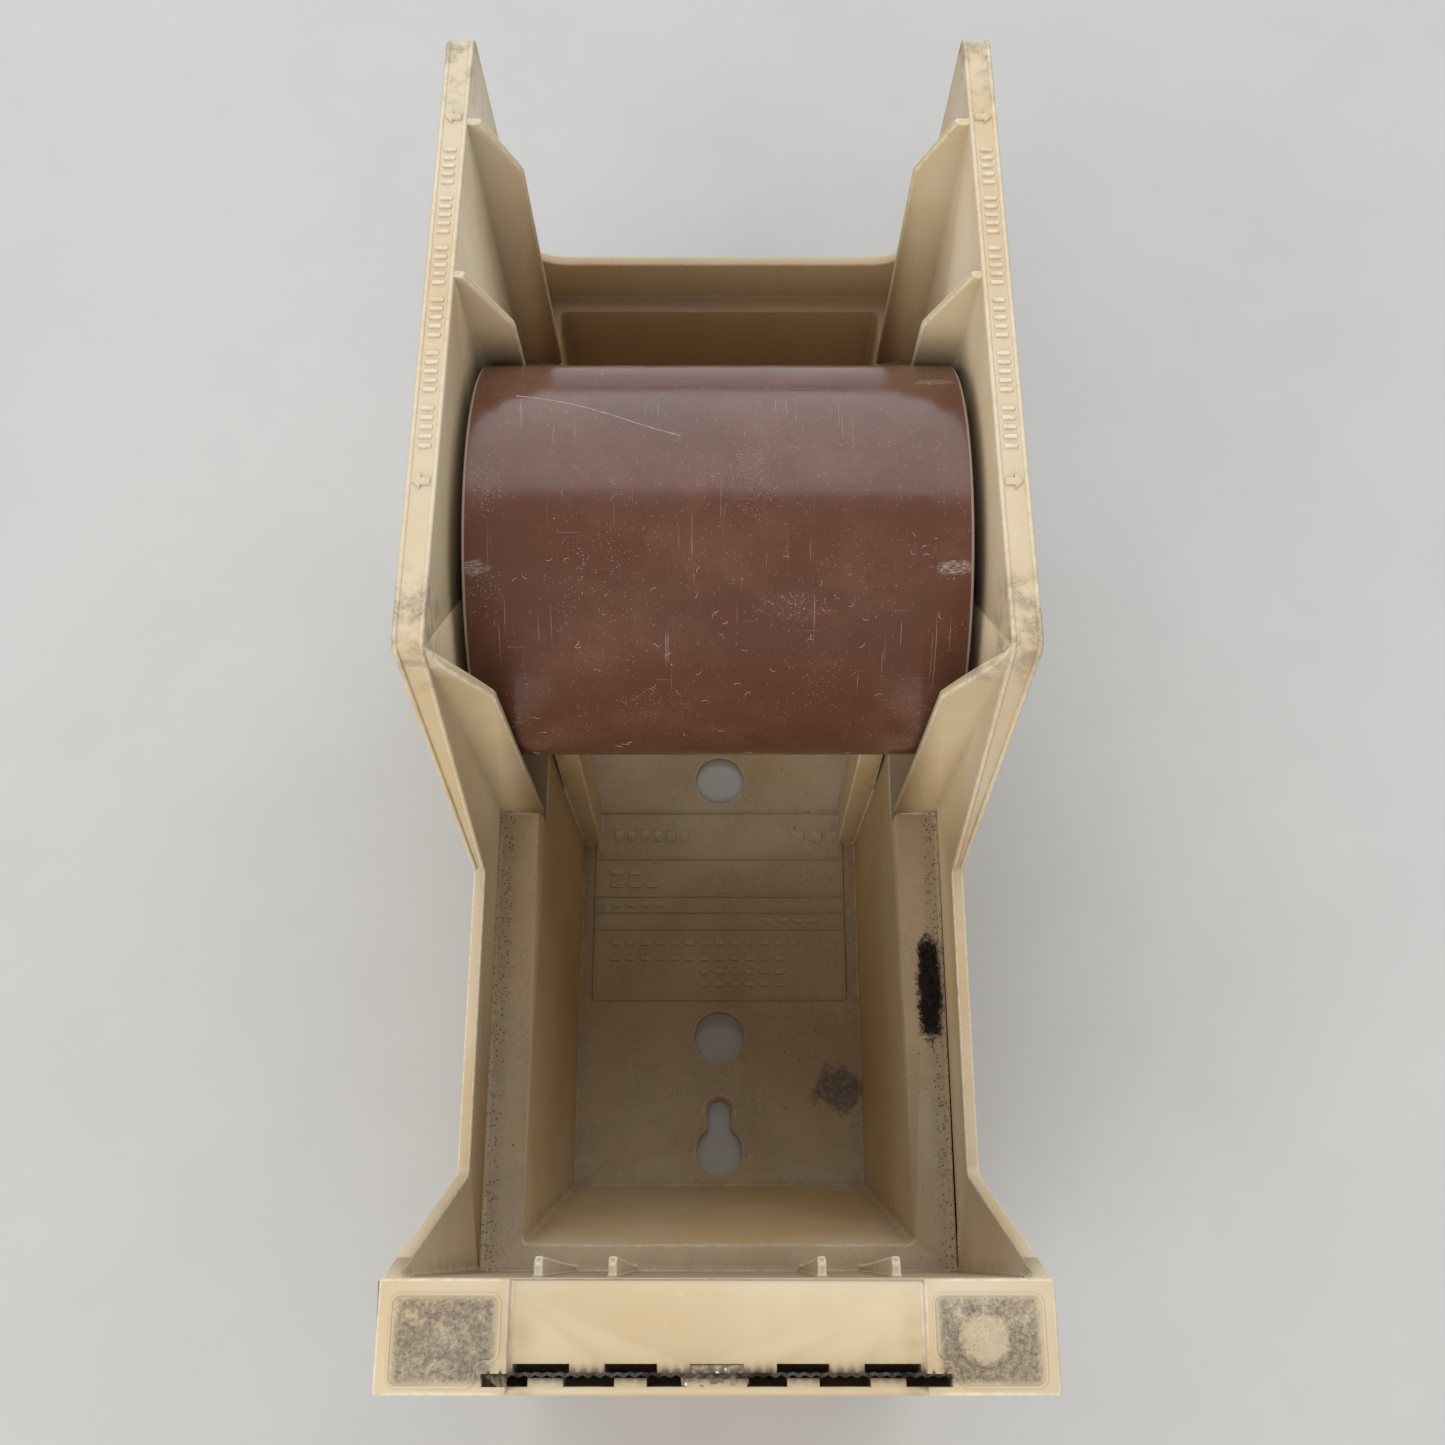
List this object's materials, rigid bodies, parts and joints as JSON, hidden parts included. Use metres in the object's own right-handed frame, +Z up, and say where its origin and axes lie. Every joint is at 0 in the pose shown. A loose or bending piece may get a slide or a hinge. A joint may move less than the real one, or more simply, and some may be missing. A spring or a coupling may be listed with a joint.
{
  "type": "tape dispenser",
  "caption": "Desk tape dispenser: a one-piece moulded body with an open tub, a drum that turns between its side walls and a toothed steel blade at the front.",
  "frame": {"origin": "on the table under the middle of the body's outer box", "axes": "+X to the right along the drum's axis, +Y from the blade towards the rear, +Z up"},
  "size_m": [0.1046, 0.244, 0.1699],
  "materials": {
    "body_plastic": "satin beige moulding, worn, with grime in its corners",
    "blade_steel": "dull steel with adhesive residue",
    "drum_plastic": "dark red-brown, semi-gloss, finely scratched",
    "drum_end_plastic": "dark red-brown, semi-gloss"
  },
  "bodies": {
    "dispenser_body": {"body": "body_plastic", "blade": "blade_steel"},
    "drum": {"drum_shell": "drum_plastic", "drum_end_left": "drum_end_plastic", "drum_end_right": "drum_end_plastic"}
  },
  "joints": [
    {"name": "drum_spin", "type": "hinge", "parent": "dispenser_body", "child": "drum", "pos_m": [0, 0.0273, 0.1221], "axis": [1, 0, 0], "continuous": true}
  ]
}
